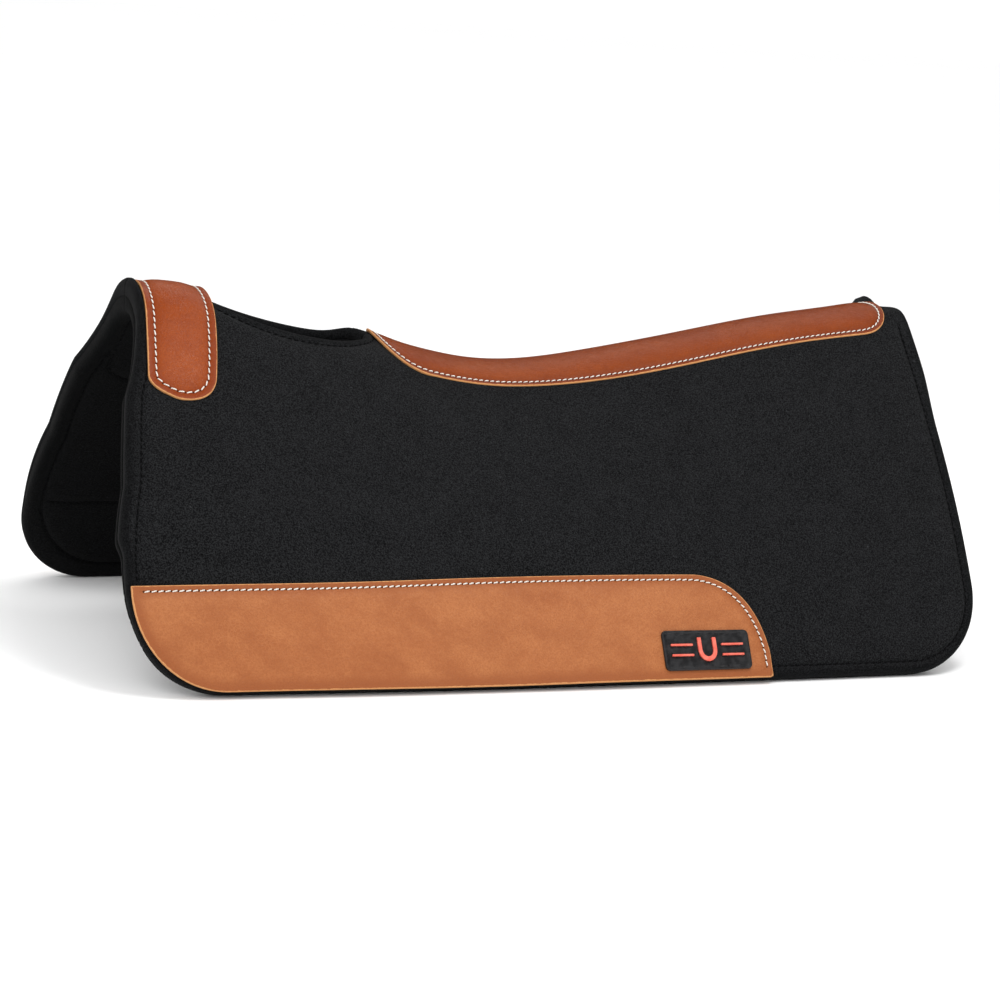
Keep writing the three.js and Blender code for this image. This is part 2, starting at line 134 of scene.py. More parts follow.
def arc_at_height(x, z, depth):
    """Arc length at which the surface at that depth comes down to height z."""
    ridge, crown_angle, crown_arc, flank_radius = section(x)
    flank_centre = ridge - CROWN_RADIUS * (1 - np.cos(crown_angle)) - flank_radius * np.cos(crown_angle)
    flank_angle = np.arccos(np.clip((z - flank_centre) / (flank_radius - depth), -1, 1))
    crown_turn = np.arccos(np.clip((z - ridge + CROWN_RADIUS) / (CROWN_RADIUS - depth), -1, 1))
    on_flank = crown_arc + flank_radius * (flank_angle - crown_angle)
    return np.where(flank_angle > crown_angle, on_flank, CROWN_RADIUS * crown_turn)


def arc_at_side(y):
    """Arc length on the crown's outside to the place that is y to the side."""
    return CROWN_RADIUS * np.arcsin(np.clip(y / CROWN_RADIUS, 0, 1))


# ---- lines in the plane ----
SAME_PLACE = 1e-6
BATCH = 2000  # points handled at once, to spare memory


def run(*corners):
    return np.array(corners, float)


def bend(start, control, end, count=20):
    """Points on a quadratic curve."""
    t = np.linspace(0, 1, count)[:, None]
    start, control, end = run(start, control, end)
    return (1 - t) ** 2 * start + 2 * t * (1 - t) * control + t**2 * end


def turn(centre, radii, start, end, count=28):
    """Points on an elliptical arc between two angles in degrees."""
    t = np.radians(np.linspace(start, end, count))
    return np.array(centre) + np.array(radii) * np.stack([np.cos(t), np.sin(t)], axis=1)


def joined(*parts):
    """One line from parts that follow on, without repeated points."""
    points = np.vstack(parts)
    step = np.linalg.norm(np.diff(points, axis=0), axis=1)
    return points[np.r_[True, step > SAME_PLACE]]


def resampled(line, step):
    """The line at an even spacing near step, with both of its ends."""
    gaps = np.linalg.norm(np.diff(line, axis=0), axis=1)
    along = np.r_[0, np.cumsum(gaps)]
    at = np.linspace(0, along[-1], max(round(along[-1] / step), 1) + 1)
    return np.stack([np.interp(at, along, line[:, k]) for k in (0, 1)], axis=1)


def distance(points, line):
    """Distance from each point to a line."""
    start = line[:-1]
    span = line[1:] - start
    length = (span**2).sum(-1)
    nearest = np.empty(len(points))
    for first in range(0, len(points), BATCH):
        offset = points[first : first + BATCH, None, :] - start
        t = np.clip((offset * span).sum(-1) / length, 0, 1)
        gap = offset - t[..., None] * span
        nearest[first : first + BATCH] = np.sqrt((gap**2).sum(-1).min(1))
    return nearest


def inside(points, outline):
    """Which points are inside the closed outline."""
    x = points[:, 0, None]
    y = points[:, 1, None]
    start = outline
    end = np.roll(outline, -1, axis=0)
    crosses = (start[:, 1] > y) != (end[:, 1] > y)
    rise = np.where(start[:, 1] == end[:, 1], 1, end[:, 1] - start[:, 1])
    at = start[:, 0] + (y - start[:, 1]) * (end[:, 0] - start[:, 0]) / rise
    return ((x < at) & crosses).sum(1) % 2 == 1


def inset(line, gap):
    """The line moved to its right by gap, where that clears the line itself."""
    along = np.gradient(line, axis=0)
    along /= np.linalg.norm(along, axis=1)[:, None]
    moved = line + gap * np.stack([along[:, 1], -along[:, 0]], axis=1)
    return moved[distance(moved, line) > 0.98 * abs(gap)]


def mirrored(half):
    """A closed outline from its half at s >= 0, which starts and ends on the spine."""
    return np.vstack([half, half[-2:0:-1] * (1, -1)])


# ---- outlines ----
def on_surface(side_view, depth):
    """A side-view line (x, z) as a flat line (x, s)."""
    x, z = side_view.T
    return np.stack([x, arc_at_height(x, z, depth)], axis=1)


def from_spine(side_view, depth, reach):
    """The edge that a side-view line cuts in the surface, out to arc length reach."""
    s = np.linspace(0, reach, 90)
    x = np.full_like(s, side_view[:, 0].mean())
    order = np.argsort(side_view[:, 1])
    for _ in range(10):
        z = drape(np.stack([x, s], axis=1), depth)[:, 2]
        x = np.interp(z, side_view[order, 1], side_view[order, 0])
    return np.stack([x, s], axis=1)


CREST = (WITHERS_X - 0.006, TOP)
NECK = (WITHERS_X - 0.009, 0.288)
SHOULDER = (WITHERS_X - 0.028, 0.228)
HIP = (WITHERS_X - 0.038, 0.160)
FRONT_EDGE = joined(
    run(CREST, NECK),
    bend(NECK, (WITHERS_X - 0.015, 0.252), SHOULDER),
    bend(SHOULDER, (WITHERS_X - 0.034, 0.200), HIP),
    bend(HIP, (FRONT_X, CORNER_RADIUS + 0.040), (FRONT_X, CORNER_RADIUS)),
)
MIDDLE = LOWER_TOP  # the depth at which both felts are cut, square to the sheet
EDGE_SPARE = 0.0015  # the rounded edge is cut this much over
REAR_FLARE = 0.0035  # the rear edge leans back below the strip
FLARE_REACH = (0.090, 0.160)
FOOT = 0.0004
FRONT_CORNER = {-1: CORNER_RADIUS, 1: 0.068}  # by side: the far panel hangs squarer
REAR_CORNER = 0.074
TUCK = 0.005  # below the wear leather's top the near side's front edge is drawn in
TUCK_HEIGHT = (0.106, 0.122)

NOTCH_DEPTH = 0.010  # where the two rear corners meet
NOTCH_HALF_WIDTH = 0.016


def spared(rim, side):
    """The rim moved out at the front and rear, and drawn in low on the near side's front."""
    x, s = rim.T
    rear = EDGE_SPARE + REAR_FLARE * (1 - over(s, *FLARE_REACH))
    height = drape(rim, MIDDLE)[:, 2]
    tuck = TUCK * (1 - over(height, *TUCK_HEIGHT)) * over(height, 0, TUCK_HEIGHT[0] / 2)
    front = -EDGE_SPARE + (tuck if side < 0 else 0)
    near_end = np.clip(np.abs(x) / REAR_X, 0, 1) ** 8
    return np.stack([x + near_end * np.where(x > 0, rear, front), s], axis=1)


def foot_line(front, front_gap, gap, rear_gap):
    """Side view of the lower edge and its corners, at a gap inside each edge."""
    left = FRONT_X + front
    right = REAR_X - REAR_CORNER
    return joined(
        turn((left, front), (front - front_gap, front - gap), 180, 270),
        run((left, gap), (right, gap)),
        turn((right, REAR_CORNER), (REAR_CORNER - rear_gap, REAR_CORNER - gap), -90, 0),
    )


def front_edge(depth):
    """The panel's flat front edge, down to where its lower corner starts."""
    return from_spine(FRONT_EDGE, MIDDLE, float(arc_at_height(FRONT_X, CORNER_RADIUS, depth)))


def panel_rim(step, side):
    """The panel's free edge, from the withers round to the tail."""
    foot = joined(run((FRONT_X, CORNER_RADIUS)), foot_line(FRONT_CORNER[side], 0, FOOT, 0))
    rear_s = float(arc_at_height(REAR_X, REAR_CORNER, MIDDLE))
    corner = (REAR_X, 2 * NOTCH_HALF_WIDTH)
    cleft = (REAR_X - 0.7 * NOTCH_DEPTH, NOTCH_HALF_WIDTH / 2)
    notch = joined(bend(corner, (REAR_X, NOTCH_HALF_WIDTH), cleft), run(cleft, (REAR_X - NOTCH_DEPTH, 0)))
    return spared(joined(
        resampled(front_edge(MIDDLE), step),
        resampled(on_surface(resampled(foot, step), MIDDLE), step),
        resampled(run((REAR_X, rear_s), corner), step),
        resampled(notch, step / 2),
    ), side)


VENT = {"front": -0.306, "widest": -0.228, "rear": -0.138, "half_width": 0.043}


def vent_rim(step, grown=0.0):
    """The opening's edge, from its tail end: an egg in plan."""
    widest = (VENT["widest"], 0)
    across = VENT["half_width"] + grown
    back = turn(widest, (VENT["rear"] - VENT["widest"] + grown, across), 0, 90)
    front = turn(widest, (VENT["widest"] - VENT["front"] + grown, across), 90, 180)
    x, y = joined(back, front).T
    return resampled(np.stack([x, arc_at_side(y)], axis=1), step)


STRAP = {  # side view, down the front edge, round the end and up the rear edge
    "crest": (-0.345, 0.322),
    "brow": (-0.3525, 0.309),
    "front": (-0.361, 0.246),
    "chin": (-0.345, 0.2317),
    "low": (-0.3284, 0.2276),
    "rear": (-0.3003, 0.2456),
    "nape": (-0.2908, 0.303),
}


def strap_rim(step):
    """Half of the strap, from the spine down its front edge, round its end and back."""
    crest, brow, front, chin, low, rear, nape = STRAP.values()
    ahead = joined(bend(crest, (brow[0] + 0.001, crest[1] - 0.005), brow), run(brow, front))
    behind = joined(run((nape[0], crest[1]), nape), bend(nape, (rear[0] + 0.007, rear[1] + 0.030), rear))
    foot = joined(
        bend(front, (front[0], front[1] - 0.008), chin),
        bend(chin, (chin[0] + 0.008, low[1]), low),
        bend(low, (rear[0] - 0.004, low[1]), rear),
    )
    foot = on_surface(foot, -GAP)
    ahead = from_spine(ahead, -GAP, foot[0, 1])
    behind = from_spine(behind, -GAP, foot[-1, 1])
    return resampled(joined(ahead, foot, behind[::-1]), step)


STRIP = {"front": -0.129, "rear": 0.388, "half_width": 0.050, "front_corner": 0.022, "rear_corner": 0.036}


def strip_rim(step):
    """Half of the strip, from its front end round its long edge to its rear end."""
    front, rear, half_width, front_corner, rear_corner = STRIP.values()
    shoulder = (front + 2 * front_corner, half_width)
    hip = (rear - rear_corner, half_width)
    x, y = joined(
        bend((front, 0), (front, half_width), shoulder),
        run(shoulder, hip),
        bend(hip, (rear, half_width), (rear, 0)),
    ).T
    return resampled(np.stack([x, arc_at_side(y)], axis=1), step)


WEAR = {"margin": 0.006, "top": 0.088, "shoulder": 0.118, "rear": 0.179, "drop": 0.026}
WEAR_BULGE = (0.171, 0.084)


def wear_parts():
    """Side view of the wear leather: its glued front and foot, and its sewn rear and top."""
    margin, top, shoulder, rear, drop = WEAR.values()
    front = FRONT_X + margin
    radius = CORNER_RADIUS - margin
    corner = turn((front + radius, margin + radius), (radius, radius), 180, 270)
    glued = joined(corner, run((rear, margin)))
    sewn = joined(
        run((rear, margin), (rear, drop)),
        bend((rear, drop), WEAR_BULGE, (shoulder, top)),
        run((shoulder, top), (front, top)),
    )
    return joined(run((front, top)), glued), sewn


def flank_line(side_view, step, depth=-GAP):
    """A side-view line on the flank as a flat line at an even spacing."""
    return resampled(on_surface(resampled(side_view, step / 2), depth), step)


# ---- seams ----
STRAP_SEAM = 0.007
STRIP_SEAM = 0.005
WEAR_SEAM = 0.005
VENT_SEAM = 0.009
SEAM_STEP = 0.005
FRONT_SEAM_TOP = 0.100  # arc lengths from the spine: the seam starts under the strap's end,
REAR_SEAM_TOP = 0.046  # and stops below the strip


def inner_seam(rim, gap):
    """A seam at a gap inside half an outline, with its ends put on the spine."""
    line = inset(rim, gap)
    line = line[line[:, 1] > SEAM_STEP]
    return joined(line[:1] * (1, 0), line, line[-1:] * (1, 0))


def perimeter_seam(depth):
    """Through both felts: down the front, round the foot and up the rear."""
    front = front_edge(depth)
    front = front[front[:, 1] > FRONT_SEAM_TOP] + (SEAM_FRONT_INSET, 0)
    foot = foot_line(CORNER_RADIUS, SEAM_FRONT_INSET, SEAM_FOOT_INSET, SEAM_REAR_INSET)
    rear_top = (REAR_X - SEAM_REAR_INSET, REAR_SEAM_TOP)
    return joined(front, on_surface(resampled(foot, SEAM_STEP), depth), run(rear_top))


def wear_seam(depth):
    """Along the top of the wear leather and down its rear edge."""
    glued, sewn = wear_parts()
    line = inset(flank_line(sewn, SEAM_STEP, depth), WEAR_SEAM)
    return line[distance(line, flank_line(glued, SEAM_STEP, depth)) > WEAR_SEAM][::-1]


def clear_of_vent(line):
    """The part of a line with felt under it: the strap reaches out over the vent."""
    return line[~inside(line, mirrored(vent_rim(SEAM_STEP, VENT_SEAM / 2)))]


STRAP_LINE = inner_seam(strap_rim(SEAM_STEP), STRAP_SEAM)
SEAMS = {
    "perimeter": perimeter_seam(0),
    "vent": vent_rim(SEAM_STEP, VENT_SEAM)[1:-1],
    "strap": STRAP_LINE,
    "strip": inner_seam(strip_rim(SEAM_STEP), STRIP_SEAM),
    "wear": wear_seam(-GAP),
    "lining_perimeter": perimeter_seam(LOWER_BOTTOM),
    "lining_wear": wear_seam(LOWER_BOTTOM),
    "lining_strap": clear_of_vent(STRAP_LINE),
}
SEAMS = {name: resampled(line, SEAM_STEP) for name, line in SEAMS.items()}
PITCH = {"perimeter": 0.0065, "vent": 0.0065, "strap": 0.0070, "strip": 0.0055, "wear": 0.0058}
PITCH |= {f"lining_{seam}": PITCH[seam] for seam in ("perimeter", "wear", "strap")}


# ---- relief shared by every layer ----
RIPPLE = 0.0005  # the slow waviness of hand-laid felt
RIPPLES = ((17, 9, 0.6, 1.0), (31, -23, 2.1, 0.6), (11, 41, 4.0, 0.4))  # rates in x and s, phase, share
SWELLS = (  # broad rises of every layer: place, size, rise
    ((0.420, 0.0), (0.060, 0.100), 0.0095),  # the rear end flares up
    ((-0.134, 0.030), (0.022, 0.028), 0.0085),  # the far side is lifted behind the vent
    ((-0.148, -0.018), (0.018, 0.020), 0.0015),
    ((-0.005, 0.0), (0.085, 0.070), -0.0040),  # the dip sags
)
SEWN_DIP = 0.0008  # how far a leather's seam pulls everything down
SEWN_WIDTH = 0.0055


def folded(points):
    return np.stack([points[:, 0], np.abs(points[:, 1])], axis=1)


def valley(points, seam, width):
    """1 on the seam, falling to 0 to either side."""
    return np.exp(-((distance(folded(points), SEAMS[seam]) / width) ** 2))


def lobe(points, place, size):
    """1 at a place, falling to 0 around it."""
    return np.exp(-(((points - place) / size) ** 2).sum(1))


def ripples(points):
    """Extra depth of every layer: hand-laid waviness, less the broad rises."""
    x, s = points.T
    waves = sum(share * np.sin(in_x * x + in_s * s + phase) for in_x, in_s, phase, share in RIPPLES)
    return RIPPLE * waves - sum(rise * lobe(points, place, size) for place, size, rise in SWELLS)


def relief(points):
    """Ripples, and the pull of the leathers' seams."""
    pull = sum(valley(points, seam, SEWN_WIDTH) for seam in ("strap", "strip", "wear"))
    return ripples(points) + SEWN_DIP * pull


def rounding(gap, radius):
    """How far a face has dropped at a gap from its rounded edge."""
    back = np.clip(1 - gap / radius, 0, 1)
    return radius * (1 - np.sqrt(1 - back**2))


# ---- sheets ----
def gap_from(line):
    """The distance of flat points from a folded line, as a function of the points."""
    return lambda points: distance(folded(points), line)


RIM_FAR = 0.05  # the rim attribute stops here


def tree_of(points):
    tree = KDTree(len(points))
    for i, (x, y) in enumerate(points):
        tree.insert((x, y, 0), i)
    tree.balance()
    return tree


def spread(outline, groups):
    """Fill points inside the outline: groups of (points, gap), kept that far from those before."""
    kept = outline
    for points, gap in groups:
        points = points[inside(points, outline)]
        tree = tree_of(kept)
        clear = [tree.find((x, y, 0))[2] > gap for x, y in points]
        kept = np.vstack([kept, points[np.array(clear, bool)]])
    return kept[len(outline) :]


def beside(line, gaps, clear):
    """Fill groups along a line, one for each gap to its right."""
    return [(inset(line, gap) if gap else line, clear) for gap in gaps]


def lattice(outline, spacing):
    """A triangular lattice over the outline's box."""
    low = outline.min(0)
    high = outline.max(0)
    row_gap = spacing * math.sqrt(3) / 2
    rows = []
    for j in range(int((high[1] - low[1]) / row_gap) + 2):
        x = np.arange(low[0] + (j % 2) * spacing / 2, high[0] + spacing, spacing)
        rows.append(np.stack([x, np.full_like(x, low[1] + j * row_gap)], axis=1))
    return np.vstack(rows)


def triangles_of(points, rim_count):
    """Triangles over the points, inside the outline that the first rim_count of them make."""
    flat = [Vector(p) for p in points]
    _, _, faces, origin, _, _ = delaunay_2d_cdt(flat, [], [list(range(rim_count))], 1, 1e-7)
    return [[origin[i][0] for i in face] for face in faces]


def placed(name, data):
    thing = bpy.data.objects.new(name, data)
    bpy.context.scene.collection.objects.link(thing)
    return thing


def new_object(name, vertices, faces, attributes):
    """A smooth-shaded mesh object whose faces all point outward."""
    mesh = bpy.data.meshes.new(name)
    mesh.from_pydata(vertices.tolist(), [], faces)
    for label, values in attributes.items():
        kind = "FLOAT" if values.ndim == 1 else "FLOAT_VECTOR"
        layer = mesh.attributes.new(label, kind, "POINT")
        field = "value" if kind == "FLOAT" else "vector"
        layer.data.foreach_set(field, values.astype(np.float32).ravel())
    work = bmesh.new()
    work.from_mesh(mesh)
    loose = [v for v in work.verts if not v.link_faces]
    bmesh.ops.delete(work, geom=loose, context="VERTS")
    bmesh.ops.recalc_face_normals(work, faces=work.faces)
    work.to_mesh(mesh)
    work.free()
    mesh.shade_smooth()
    return placed(name, mesh)


def sheet(name, side, flats, front, back, rim_gap, holes=None):
    """A closed sheet. flats are its outline and the fill points of its front and its back.

    front and back give the depth of its faces at flat points, rim_gap the distance to its free edge.
    """
    outline, fill, back_fill = (points * (1, side) for points in flats)
    count = len(outline)
    front_points = np.vstack([outline, fill])
    back_points = np.vstack([outline, back_fill])
    shift = len(front_points)
    faces = triangles_of(front_points, count)
    faces += [[i + shift for i in face] for face in triangles_of(back_points, count)]
    after = [*range(1, count), 0]
    faces += [[i, j, j + shift, i + shift] for i, j in enumerate(after)]
    points = np.vstack([front_points, back_points])
    depth = np.r_[front(front_points), back(back_points)]
    pierced = np.zeros(len(points))
    if holes is not None:
        pierced[:shift] = hole_field(front_points, holes)
    attributes = {
        "flat": np.column_stack([points, depth]),
        "rim": np.minimum(rim_gap(points), RIM_FAR),
        "hole": pierced,
    }
    return new_object(name, drape(points, depth), faces, attributes)


# ---- stitches and their holes ----
HOLE_RADIUS = 0.00065
HOLE_DEPTH = 0.0012
HOLE_RINGS = ((0.0006, 6), (0.0012, 8))  # radius and number of mesh points


def hole_field(points, holes):
    """1 at the middle of each needle hole, falling to 0 around it. The holes are folded."""
    tree = tree_of(holes)
    gap = np.array([tree.find((x, s, 0))[2] for x, s in folded(points)])
    return np.exp(-((gap / HOLE_RADIUS) ** 2))


def hole_points(holes):
    """Mesh points for each hole: its middle and two rings round it."""
    rings = [holes]
    for radius, count in HOLE_RINGS:
        for angle in np.arange(count) * 2 * np.pi / count:
            rings.append(holes + radius * np.array([math.cos(angle), math.sin(angle)]))
    return np.vstack(rings)


def both_sides(points):
    """The folded points on both sides of the spine, those on the spine once."""
    return np.vstack([points, points[points[:, 1] > SAME_PLACE] * (1, -1)])


THREAD_RADIUS = 0.00062
STITCH_SHARE = 0.76  # of the pitch, the rest is the gap at the needle holes
STITCH_ARCH = 0.0004
STITCH_SLANT = 0.00045
STITCH_SINK = 0.25  # height of a stitch's ends, in thread radii
STITCH_RINGS = ((-1, 0.30), (-0.86, 0.80), (-0.5, 1), (0, 1), (0.5, 1), (0.86, 0.80), (1, 0.30))


def stitch_row(line, pitch, surface, lift=1, rings=STITCH_RINGS, sides=6):
    """Lockstitches along a flat line on a surface. lift is -1 on the inside of the pad."""
    holes = resampled(line, pitch)
    start = holes[:-1]
    along = holes[1:] - start
    middle = start + along / 2
    length = np.linalg.norm(along, axis=1)[:, None]
    along = along / length
    across = np.stack([-along[:, 1], along[:, 0]], axis=1)
    angles = np.arange(sides) * 2 * np.pi / sides
    points = []
    rises = []
    strands = []
    for place, share in rings:
        reach = place * STITCH_SHARE * length / 2
        centre = middle + along * reach + across * STITCH_SLANT * place
        arch = STITCH_ARCH * (1 - place**2) + STITCH_SINK * THREAD_RADIUS
        for angle in angles:
            points.append(centre + across * THREAD_RADIUS * share * math.cos(angle))
            rises.append(np.full(len(holes) - 1, arch + THREAD_RADIUS * share * math.sin(angle)))
            strands.append(np.column_stack([reach, np.full_like(reach, angle), start[:, :1] * 7]))
    count = len(rings) * sides
    points = np.stack(points, axis=1).reshape(-1, 2)
    rises = np.stack(rises, axis=1).ravel()
    strands = np.stack(strands, axis=1).reshape(-1, 3)
    vertices = drape(points, surface(points) - lift * rises)
    one = [[*range(sides)], [*range(count - sides, count)]]
    after = [*range(1, sides), 0]
    for base in range(0, count - sides, sides):
        one += [[base + i, base + j, base + sides + j, base + sides + i] for i, j in enumerate(after)]
    faces = [[i + first for i in face] for first in range(0, len(points), count) for face in one]
    return vertices, faces, strands


def stitches(name, rows):
    """One object from several stitch rows."""
    vertices, row_faces, strands = zip(*rows)
    faces = []
    total = 0
    for some, points in zip(row_faces, vertices):
        faces += [[i + total for i in face] for face in some]
        total += len(points)
    return new_object(name, np.vstack(vertices), faces, {"strand": np.vstack(strands)})


# ---- felt panels ----
SPINE_GAP = 0.0001
FELT_ROUND = 0.0062
TOUCHING_ROUND = 0.0001  # where the two felts lie on each other at the edge
SPINE_ROUND = 0.0004
RIM_RINGS = (0.0005, 0.0014, 0.0028, 0.0044, 0.0062)
SEAM_RINGS = (0, 0.0011, -0.0011, 0.0026, -0.0026)
RIM_STEP = 0.0042
FELT_LATTICE = 0.0085
# How far a fill point keeps from those laid before it:
FELT_CLEAR = {"pocket": 0.002, "rim": 0.0002, "seam": 0.0010, "leather": 0.0012, "lattice": 0.004675}
PRESSED = {  # how deep and how wide each seam presses the felt in
    "perimeter": (0.0024, 0.0016),
    "vent": (0.0018, 0.0030),
    "lining_perimeter": (0.0026, 0.0020),
    "lining_wear": (0.0014, 0.0013),
    "lining_strap": (0.0010, 0.0016),
    "strip": (0.0010, 0.0016),
}
OUTSIDE_SEAMS = ("perimeter", "vent")
LINING_SEAMS = ("lining_perimeter", "lining_wear", "vent", "lining_strap", "strip")
LOFT = 0.0012  # the felt swells away from its edge
LOFT_REACH = 0.030
LOFT_AT_RIM = 0.4
PINCH = 0.009  # the lining is drawn up at the front corner
PINCH_HEIGHT = (0.050, 0.140)
PINCH_REACH = 0.015
NESTLE = 0.0009  # it stands up round a leather's edge
NESTLE_WIDTH = 0.004
ROLL_RISE = 0.0050  # and more in front of the strap, at the withers
ROLL_WIDTH = 0.003
ROLL_REACH = (0.020, 0.090)
POCKET = (0.011, 0.017)  # gaps from the edge over which the lower felt thins for the filler


def spine_run(start_x, end_x, step):
    """Points along the spine edge between two rims, close together near both."""
    sign = 1 if end_x > start_x else -1
    length = abs(end_x - start_x)
    graded = np.array([gap for gap in (*RIM_RINGS, 0.0064) if gap < length / 2])
    first = graded[-1]
    middle = np.linspace(first, length - first, max(round((length - 2 * first) / step), 1) + 1)
    at = np.r_[graded[:-1], middle, (length - graded[:-1])[::-1]]
    return np.stack([start_x + sign * at, np.full_like(at, SPINE_GAP)], axis=1)


def panel(step, side):
    """A panel's closed outline, folded, with the lines of its free edges."""
    rim = panel_rim(step, side)
    vent = vent_rim(step)
    rim[:, 1] = np.maximum(rim[:, 1], SPINE_GAP)
    vent[:, 1] = np.maximum(vent[:, 1], SPINE_GAP)
    behind_vent = spine_run(rim[-1, 0], vent[0, 0], step)
    ahead_of_vent = spine_run(vent[-1, 0], rim[0, 0], step)
    return np.vstack([rim, behind_vent, vent, ahead_of_vent]), (rim, vent)


LEATHER_EDGES = [strap_rim(SEAM_STEP), strip_rim(SEAM_STEP), flank_line(joined(*wear_parts()), SEAM_STEP)]


def beside_leather(points):
    """1 just outside a leather's edge, falling to 0 away from it."""
    near = np.zeros(len(points))
    flat = folded(points)
    for edge in LEATHER_EDGES:
        gap = distance(flat, edge)
        near = np.maximum(near, np.where(inside(flat, edge), 0, np.exp(-gap / NESTLE_WIDTH)))
    return near


def nestled(points):
    """How far the outside stands up beside the leathers, with a roll in front of the strap."""
    flat = folded(points)
    x, s = flat.T
    strap = LEATHER_EDGES[0]
    ahead = (x < STRAP["crest"][0]) & ~inside(flat, strap)
    roll = smooth(distance(flat, strap) / ROLL_WIDTH)
    roll *= 1 - over(s, *ROLL_REACH)
    return NESTLE * beside_leather(points) + np.where(ahead, ROLL_RISE * roll, 0)


NEAR_PEAK = ((0.392, -0.033), (0.014, 0.015), 0.0075)  # the felt corners stand up on either side of the
FAR_PEAK = ((0.397, 0.034), (0.020, 0.015), 0.0120)  # strip's rear end: place, size and rise
PEAK_CLEARANCE = 0.010


def rear_peak(points):
    strip = LEATHER_EDGES[1]
    clear = smooth(gap_from(strip)(points) / PEAK_CLEARANCE)
    rise = sum(rise * lobe(points, place, size) for place, size, rise in (NEAR_PEAK, FAR_PEAK))
    return rise * np.where(inside(folded(points), strip), 0, clear)


class Felt:
    """The plan of one felt sheet: its outline, and the points of its seen and its hidden face."""

    def __init__(self, seams, side):
        self.outline, self.rims = panel(RIM_STEP, side)
        self.seams = seams
        fine = []
        hidden = []
        for rim in self.rims:
            fine += beside(rim, RIM_RINGS, FELT_CLEAR["rim"])
            hidden += beside(rim, POCKET, FELT_CLEAR["pocket"])
        for seam in seams:
            fine += beside(SEAMS[seam], SEAM_RINGS, FELT_CLEAR["seam"])
        fine += [(edge, FELT_CLEAR["leather"]) for edge in LEATHER_EDGES]
        fine.append((lattice(self.outline, FELT_LATTICE), FELT_CLEAR["lattice"]))
        hidden.append((lattice(self.outline, 2 * FELT_LATTICE), FELT_LATTICE))
        self.fine = spread(self.outline, fine)
        self.hidden = spread(self.outline, hidden)

    def rim_gap(self, points):
        return np.minimum(*(gap_from(rim)(points) for rim in self.rims))

    def swell(self, points):
        """How far the seen face stands out from its nominal depth."""
        gap = self.rim_gap(points)
        dips = [PRESSED[seam][0] * valley(points, seam, PRESSED[seam][1]) for seam in self.seams]
        loft = LOFT * (smooth((gap - SEAM_REAR_INSET) / LOFT_REACH) - LOFT_AT_RIM)
        edges = rounding(gap, FELT_ROUND) + rounding(np.abs(points[:, 1]), SPINE_ROUND)
        return loft - np.maximum.reduce(dips) - edges


def upper_felt(name, side):
    """The outer sheet; also gives its outside face's depth."""
    plan = Felt(OUTSIDE_SEAMS, side)

    def outside(points):
        return relief(points) - rear_peak(points) - plan.swell(points) - nestled(points)

    def underside(points):
        edge = rounding(plan.rim_gap(points), TOUCHING_ROUND)
        return UPPER_FELT + ripples(points) - rear_peak(points) - edge

    flats = (plan.outline, plan.fine, plan.hidden)
    return sheet(name, side, flats, outside, underside, plan.rim_gap), outside


def lower_felt(name, side):
    """The sheet on the horse's side; also gives its lining face's depth."""
    plan = Felt(LINING_SEAMS, side)

    def topside(points):
        gap = plan.rim_gap(points)
        within = np.minimum(gap, np.abs(points[:, 1]) + POCKET[0] / 2)
        pocket = (CORE + GAP) * over(within, *POCKET)
        return LOWER_TOP + pocket + ripples(points) - rear_peak(points) + rounding(gap, TOUCHING_ROUND)

    def lining(points):
        height = drape(points, MIDDLE)[:, 2]
        low = 1 - over(height, *PINCH_HEIGHT)
        pinch = PINCH * low * np.exp(-plan.rim_gap(points) / PINCH_REACH)
        return LOWER_BOTTOM + ripples(points) - rear_peak(points) + plan.swell(points) - pinch

    flats = (plan.outline, plan.hidden, plan.fine)
    return sheet(name, side, flats, topside, lining, plan.rim_gap), lining


FILLER_STEP = 0.010
FILLER_ROUND = CORE / 3


def filler(name, side):
    """The needled filler between the felts, hidden, short of every edge."""
    rim = inset(panel_rim(FILLER_STEP, side), CORE_INSET)
    vent = inset(vent_rim(FILLER_STEP), CORE_INSET)
    rim = rim[rim[:, 1] > FILLER_STEP]
    vent = vent[vent[:, 1] > FILLER_STEP]
    behind_vent = resampled(run(rim[-1], vent[0]), FILLER_STEP)
    ahead_of_vent = resampled(run(vent[-1], rim[0]), FILLER_STEP)
    outline = joined(rim, behind_vent, vent, ahead_of_vent[:-1])
    fill = spread(outline, [(lattice(outline, 2 * FILLER_STEP), FILLER_STEP)])
    edge_gap = gap_from(closed(outline))

    def front(points):
        return LOWER_TOP + GAP + relief(points) + rounding(edge_gap(points), FILLER_ROUND)

    def back(points):
        return LOWER_TOP + CORE + relief(points) - rounding(edge_gap(points), FILLER_ROUND)

    return sheet(name, side, (outline, fill, fill), front, back, edge_gap)


# ---- leather pieces ----
LEATHER_ROUND = 0.0011
LEATHER_RINGS = (0.0003, 0.0007, 0.0012, 0.0020, 0.0032)
CREASE_RINGS = (0, 0.0012, -0.0012, 0.0026)
CREASE = 0.0007  # the stitches bite into the leather
CREASE_WIDTH = 0.0016
LEATHER_LATTICE = 0.0070
PUFF_REACH = 0.016
LEATHER_CLEAR = {"hole": 0.00045, "rim": 0.00012, "crease": 0.0009, "lattice": 0.0035}
LEATHERS = {  # plumping, and the spacing and clearance of the hidden back's points
    "wear": (0.0004, 0.014, 0.008),
    "strap": (0.0008, 0.012, 0.007),
    "strip": (0.0005, 0.012, 0.007),
}


